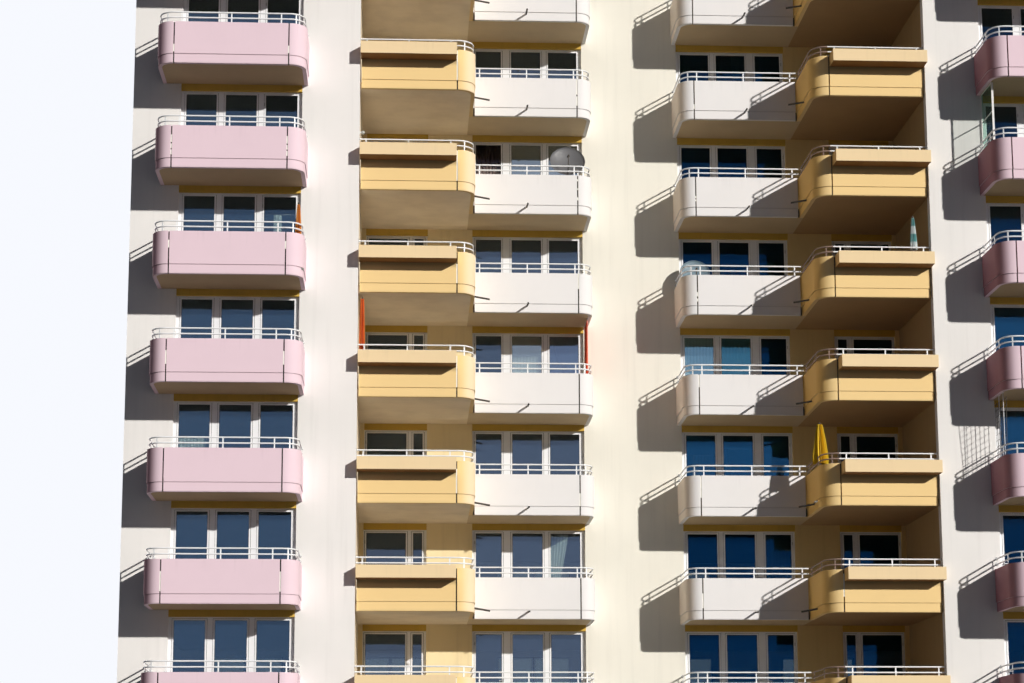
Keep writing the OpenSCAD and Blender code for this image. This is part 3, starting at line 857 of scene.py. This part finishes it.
def buildFixings():
    bm = bmesh.new()
    half = panel["thick"] / 2
    for k in range(storeys["upper"]):
        z = level(k) + panel["top"]
        for name, b in balconies.items():
            turns = [(b["side"], 1)] + ([(b["end"], -1)] if name == "lilac" else [])
            for side in (1, -1):
                for x in b["posts"]:
                    addPlate(bm, side * x, b["front"] + half, z, 0)
                for edge, inwards in turns:
                    middleX, middleY = edge + inwards * b["radius"], b["front"] + b["radius"]
                    angle = radians(rails["cornerPost"])
                    reach = b["radius"] - half
                    addPlate(bm, side * (middleX - inwards * reach * sin(angle)), middleY - reach * cos(angle), z,
                             -side * inwards * angle)
                    run = (b["foot"] + (panel["thick"] if name == "yellow" else 0)) - middleY
                    for part in (rails["sidePost"], 1 - rails["sidePost"]):
                        addPlate(bm, side * (edge + inwards * half), middleY + part * run, z, pi / 2)
                    for height in (rails["low"], rails["top"]):
                        if name == "yellow":
                            addFlange(bm, (side * bayEdge, b["front"] + half, z + height), (-side, 0, 0))
                        else:
                            addFlange(bm, (side * (edge + inwards * half), b["foot"], z + height), (0, -1, 0))
    finishPiece("railFixings", bm, [steelBare])


buildFixings()
print("rail fixings")

# Dishes on two balconies, each on a mast that stands on the balcony floor
dishes = {
    "dishLeft": {"centre": (-1.885, -3.0, 19.07), "size": 0.97, "storey": 5, "paint": dishPaint},
    "dishRight": {"centre": (1.74, -2.33, 16.08), "size": 0.82, "storey": 4, "paint": dishPale},
}
# depth, reach and drop are shares of the size
dishMake = {"tilt": 22, "depth": 0.15, "reach": 0.42, "drop": 0.15, "arm": 0.014, "strut": 0.012, "mast": 0.024,
            "foot": 0.17, "legHigh": 0.35}


def buildDish(name, centre, size, storey, paint):
    d = dishMake
    tilt = radians(d["tilt"])
    ahead = Vector((0, -cos(tilt), sin(tilt)))
    up = Vector((0, sin(tilt), cos(tilt)))
    rim = size / 2
    depth = d["depth"] * size
    middle = Vector(centre)
    bm = bmesh.new()
    back = [(rim * i / 9, depth * (i / 9) ** 2) for i in range(10)]
    edge = [(rim + 0.008, depth - 0.004), (rim + 0.010, depth + 0.006), (rim, depth + 0.010)]
    inner = [(rim * i / 9, depth * (i / 9) ** 2 + 0.006) for i in range(9, -1, -1)]
    addTurned(bm, back + edge + inner, 56, 0, aim(middle - ahead * depth, ahead))
    armFoot = middle - up * (rim - 0.02)
    head = middle + ahead * d["reach"] * size - up * d["drop"] * size
    addRod(bm, armFoot, head, d["arm"], 10, 1)
    addRod(bm, armFoot - ahead * 0.02, middle - up * (rim * 0.5) - ahead * (depth * 0.75), d["strut"], 10, 1)
    receiver = [(0, -0.05), (0.020, -0.05), (0.024, 0.02), (0.034, 0.03), (0.036, 0.075), (0.030, 0.08), (0, 0.082)]
    addTurned(bm, receiver, 16, 1, aim(head, (middle - ahead * depth) - head))
    hub = middle - ahead * (depth + 0.05)
    mastTop = hub - ahead * 0.05 + Vector((0, 0, 0.06))
    mastFoot = Vector((mastTop.x, mastTop.y, floorOf(storey)))
    addRod(bm, mastFoot, mastTop, d["mast"], 16)
    addBox(bm, (-0.05, -0.06, -0.012), (0.05, 0.06, 0.05), 0, aim(hub, ahead))
    wide = d["foot"]
    plate = [(0, 0), (wide, 0), (wide, 0.008), (0.03, 0.012), (0.03, 0.05), (0, 0.05)]
    addTurned(bm, plate, 20, 0, aim(mastFoot, (0, 0, 1)))
    for i in range(3):
        turn = 2 * pi * i / 3
        spot = mastFoot + Vector(((wide - 0.04) * cos(turn), (wide - 0.04) * sin(turn), 0.008))
        addTurned(bm, [(0, 0), (0.012, 0), (0.012, 0.008), (0, 0.009)], 6, 0, aim(spot, (0, 0, 1)))
        addRod(bm, spot, mastFoot + Vector((0, 0, d["legHigh"])), 0.008, 8)
    finishPiece(name, bm, [paint, drainPlastic])


for name, values in dishes.items():
    buildDish(name, **values)
print("dishes")

# Red cloth hung as a side screen on the left white balcony
screenValues = {"x": -1.35, "y": (-2.87, -1.905), "storey": 3, "length": 2.0, "wave": 0.028, "hooks": 11,
                "columns": 60, "rows": 16}


def buildSideScreen():
    s = screenValues
    top = level(s["storey"] + 1)
    near, far = s["y"]
    gaps = s["hooks"] - 1
    rail = bmesh.new()
    addBox(rail, (s["x"] - 0.012, near - 0.02, top - 0.022), (s["x"] + 0.012, far + 0.02, top))
    for i in range(s["hooks"]):
        y = near + 0.02 + (far - near - 0.04) * i / gaps
        addRod(rail, (s["x"], y, top - 0.022), (s["x"], y, top - 0.045), 0.004, 6)
    carrier = finishPiece("screenRail", rail, [steelBare])
    bm = bmesh.new()
    columns = s["columns"]
    rows = []
    for j in range(s["rows"] + 1):
        down = j / s["rows"]
        row = []
        for i in range(columns + 1):
            along = i / columns
            wave = s["wave"] * (0.35 + 0.65 * down)
            front = max(0.0, 1 - along / 0.12)
            x = s["x"] + wave * sin(along * 25 + 0.6 * sin(down * 3)) + 0.35 * wave * sin(along * 8 + 2)
            x -= 0.05 * front * front * (0.4 + down)
            y = near + (far - near) * (along + 0.015 * down * sin(along * 9))
            sag = 0.012 * (1 - cos(along * 2 * pi * gaps)) / 2 if j == 0 else 0
            row.append(bm.verts.new((x, y, top - 0.043 - sag - s["length"] * down)))
        rows.append(row)
    addGrid(bm, rows)
    width = area(bm) / s["length"]
    piece = finishPiece("sideScreen", bm, [redCloth])


buildSideScreen()
print("side screen")

# Closed parasols: place, foot and top of the canopy, reach of its folds at the crown and the foot, full spread,
# radius of the stand
parasols = {
    "parasolYellow": {"place": (4.69, -4.65), "storey": 2, "canopy": (10.25, 11.31), "reach": (0.07, 0.235),
                      "full": 2.1, "pleats": 18, "stand": 0.2, "stuff": yellowCloth},
    "parasolBlue": {"place": (7.22, -5.37), "storey": 4, "canopy": (15.96, 16.84), "reach": (0.03, 0.10),
                    "full": 1.4, "pleats": 24, "stand": 0.055, "stuff": blueCloth},
    "parasolOrange": {"place": (-7.515, -5.36), "storey": 3, "canopy": (13.05, 14.45), "reach": (0.045, 0.078),
                      "full": 1.7, "pleats": 24, "stand": 0.055, "stuff": orangeCloth},
    "parasolAmber": {"place": (-9.14, -6.88), "storey": 4, "canopy": (15.75, 16.55), "reach": (0.03, 0.085),
                     "full": 1.3, "pleats": 24, "stand": 0.16, "stuff": amberCloth},
}
# tuck is where down its length the canopy starts to draw in, and by what share of its reach
parasolMake = {"pole": 0.016, "innerFold": 0.52, "unevenness": 0.08, "twist": 0.25, "rings": 10, "tuck": (0.85, 0.12)}


def buildParasol(name, stuff, place, storey, canopy, reach, full, pleats, stand):
    p = parasolMake
    x, y = place
    low, high = canopy
    tuckFrom, tuckBy = p["tuck"]
    pole = bmesh.new()
    floor = floorOf(storey)
    addRod(pole, (x, y, floor + 0.02), (x, y, high + 0.03), p["pole"], 12)
    base = [(0, 0), (stand, 0), (stand, 0.04), (0.05, 0.07), (0.028, 0.09), (0.028, 0.28), (0, 0.28)]
    addTurned(pole, base, 24, 0, aim((x, y, floor), (0, 0, 1)))
    knob = [(0, 0), (0.025, 0), (0.025, 0.03), (0.008, 0.06), (0, 0.06)]
    addTurned(pole, knob, 12, 1, aim((x, y, high), (0, 0, 1)))
    carrier = finishPiece(name + "Pole", pole, [steelBare, drainPlastic])
    bm = bmesh.new()
    steps = pleats * 2
    rings = []
    for j in range(p["rings"] + 1):
        down = j / p["rings"]
        wide = reach[0] + (reach[1] - reach[0]) * down ** 0.8
        wide *= 1 - tuckBy * max(0, down - tuckFrom) / (1 - tuckFrom)
        ring = []
        for i in range(steps):
            turn = 2 * pi * i / steps + p["twist"] * down
            r = wide * (1.0 + p["unevenness"] * sin(i * 1.7) if i % 2 else p["innerFold"])
            ring.append(bm.verts.new((x + r * cos(turn), y + r * sin(turn), high - (high - low) * down)))
        rings.append(ring)
    addGrid(bm, rings, closed=True, smooth=False)
    piece = finishPiece(name, bm, [stuff])


for name, values in parasols.items():
    buildParasol(name, **values)
print("parasols")

# Draught screen and wire trellis on the right lilac balconies, globe lamp in the left recess
sideFittings = {
    "screen": {"storey": 5, "x": 9.118, "y": (-6.75, -5.70), "post": 0.045, "transom": 1.80, "bar": 0.022},
    "trellis": {"storey": 2, "x": 9.118, "y": (-6.60, -5.84), "count": 6, "lean": -6.86, "top": 0.14,
                "poles": (-6.65, -6.27), "wires": 11, "wirePitch": 0.16, "wire": 0.006},
    "lamp": {"place": (-bayEdge, -5.50, 18.97), "radius": 0.05},
}


def buildDraughtScreen():
    s = sideFittings["screen"]
    low, high = floorOf(s["storey"]), level(s["storey"] + 1)
    posts, glass = bmesh.new(), bmesh.new()
    x, w, bar, (near, far) = s["x"], s["post"], s["bar"], s["y"]
    split = low + s["transom"]
    for y in (near, far - w):
        addBox(posts, (x - 0.010, y + w - 0.018, low), (x + w, y + w, high))
    for z in (low, split, high - bar):
        addBox(posts, (x - 0.006, near + w, z), (x + 0.022, far - w, z + bar))
    for za, zb in ((low + bar, split), (split + bar, high - bar)):
        addBox(glass, (x + 0.004, near + w, za), (x + 0.010, far - w, zb))
    finishPiece("draughtScreenFrame", posts, [whitePlastic], bevel=0.003)
    finishPiece("draughtScreenPane", glass, [screenGlass])


def buildTrellis():
    s = sideFittings["trellis"]
    x, (near, far) = s["x"], s["y"]
    low, ceiling = floorOf(s["storey"]), level(s["storey"] + 1)
    high = ceiling - s["top"]
    bm = bmesh.new()
    foot = [(0, 0), (0.035, 0), (0.035, 0.006), (0.014, 0.010)]
    for y in s["poles"]:
        addRod(bm, (x - 0.02, y, low), (x - 0.02, y, ceiling), 0.009, 12)
        for z, way in ((low, 1), (ceiling, -1)):
            addTurned(bm, foot, 14, 0, aim((x - 0.02, y, z), (0, 0, way)))
    for i in range(s["count"]):
        y = near + (far - near) * i / (s["count"] - 1)
        addRod(bm, (x, y, low), (x, y, high), s["wire"], 8, 1)
    # the front upright leans out at its head, and the wires end on it
    foot, head = Vector((x, near - 0.06, low)), Vector((x, s["lean"], high))
    addRod(bm, foot, head, 0.007, 8, 1)
    for i in range(s["wires"]):
        z = high - 0.03 - i * s["wirePitch"]
        start = foot + (head - foot) * ((z - low) / (high - low))
        addRod(bm, (x + 0.009, start.y, z), (x + 0.009, far + 0.02, z), s["wire"], 6, 1)
    finishPiece("sideTrellis", bm, [railPaint, drainPlastic])


def buildLamp():
    s = sideFittings["lamp"]
    bm = bmesh.new()
    place = aim(s["place"], (1, 0, 0))
    r = s["radius"]
    holder = [(0, 0), (0.045, 0), (0.045, 0.010), (0.018, 0.014), (0.018, 0.03), (0.03, 0.034), (0.03, 0.045),
              (0, 0.045)]
    addTurned(bm, holder, 20, 1, place)
    ball = [(r * sin(pi * i / 12), 0.04 + r - r * cos(pi * i / 12)) for i in range(13)]
    addTurned(bm, ball, 24, 0, place)
    finishPiece("globeLamp", bm, [opal, whitePlastic])


buildDraughtScreen()
buildTrellis()
buildLamp()
print("side fittings")

# Floor, light and camera. A lamp is its strength, the angle of its disc, its tone and the way its light goes
stageValues = {
    "floorSize": 600.0,
    "floorSeen": (0.80, 0.80, 0.79),
    "floorBounce": (0.05, 0.045, 0.035),
    "floorGlow": 0.26,
    "skySeen": (0.93, 0.95, 1.0),
    "skyFill": (0.046, 0.058, 0.086),
    # each metre of projection throws its shadow 0.78 m to the left and 0.445 m down
    "softSun": (3.7, 1.2, (1.0, 0.965, 0.90), (-0.777, 1.0, -0.445)),
    # for the rear and the shaded gable; the block keeps it off its front
    "rearFill": (2.0, 20, (1.0, 1.0, 1.0), (0.5, -1.0, -0.4)),
}


def buildStage():
    s = stageValues
    bm = bmesh.new()
    half = s["floorSize"] / 2
    bm.faces.new([bm.verts.new(c) for c in ((-half, -half, 0), (half, -half, 0), (half, half, 0), (-half, half, 0))])
    p = Paint("floorPale", 0.9)
    seen = p.seenRays()
    pale = p.blend(p.noise(0.2, 2), s["floorSeen"], tinted(s["floorSeen"], 0.97))
    p.set("Base Color", p.blend(seen, s["floorBounce"], pale))
    p.set("Emission Color", (1, 1, 1))
    p.set("Emission Strength", p.times(seen, s["floorGlow"]))
    floor = linkMesh("studioFloor", bm, [p.material])


def addSun(name):
    sun = bpy.data.lights.new(name, "SUN")
    sun.energy, angle, sun.color, way = stageValues[name]
    sun.angle = radians(angle)
    lamp = bpy.data.objects.new(name, sun)
    lamp.rotation_euler = Vector(way).to_track_quat("-Z", "Y").to_euler()
    bpy.context.scene.collection.objects.link(lamp)


def buildLight():
    world = bpy.data.worlds.new("paleSky")
    bpy.context.scene.world = world
    world.use_nodes = True
    sky = Nodes(world.node_tree)
    tone = sky.blend(sky.seenRays(), stageValues["skyFill"], stageValues["skySeen"])
    sky.put(sky.tree.nodes["Background"].inputs["Color"], tone)
    addSun("softSun")
    addSun("rearFill")


cameraValues = {
    "lens": 73.48,
    "shift": 0.1255,
    "place": (-6.379, wallFace - 57.229, level(4) - 13.751),
    "yaw": 2.961,
    "pitch": 9.571,
    "roll": 0.147,
}


def buildCamera():
    c = cameraValues
    data = bpy.data.cameras.new("streetView")
    data.lens = c["lens"]
    data.sensor_width = 36
    data.shift_y = c["shift"]
    data.clip_end = 2000
    camera = bpy.data.objects.new("streetView", data)
    camera.location = c["place"]
    camera.rotation_euler = (radians(90 + c["pitch"]), radians(c["roll"]), radians(-c["yaw"]))
    bpy.context.scene.collection.objects.link(camera)
    bpy.context.scene.camera = camera


buildStage()
buildLight()
buildCamera()
bpy.context.scene.view_settings.view_transform = "Standard"
print("stage, light and camera")
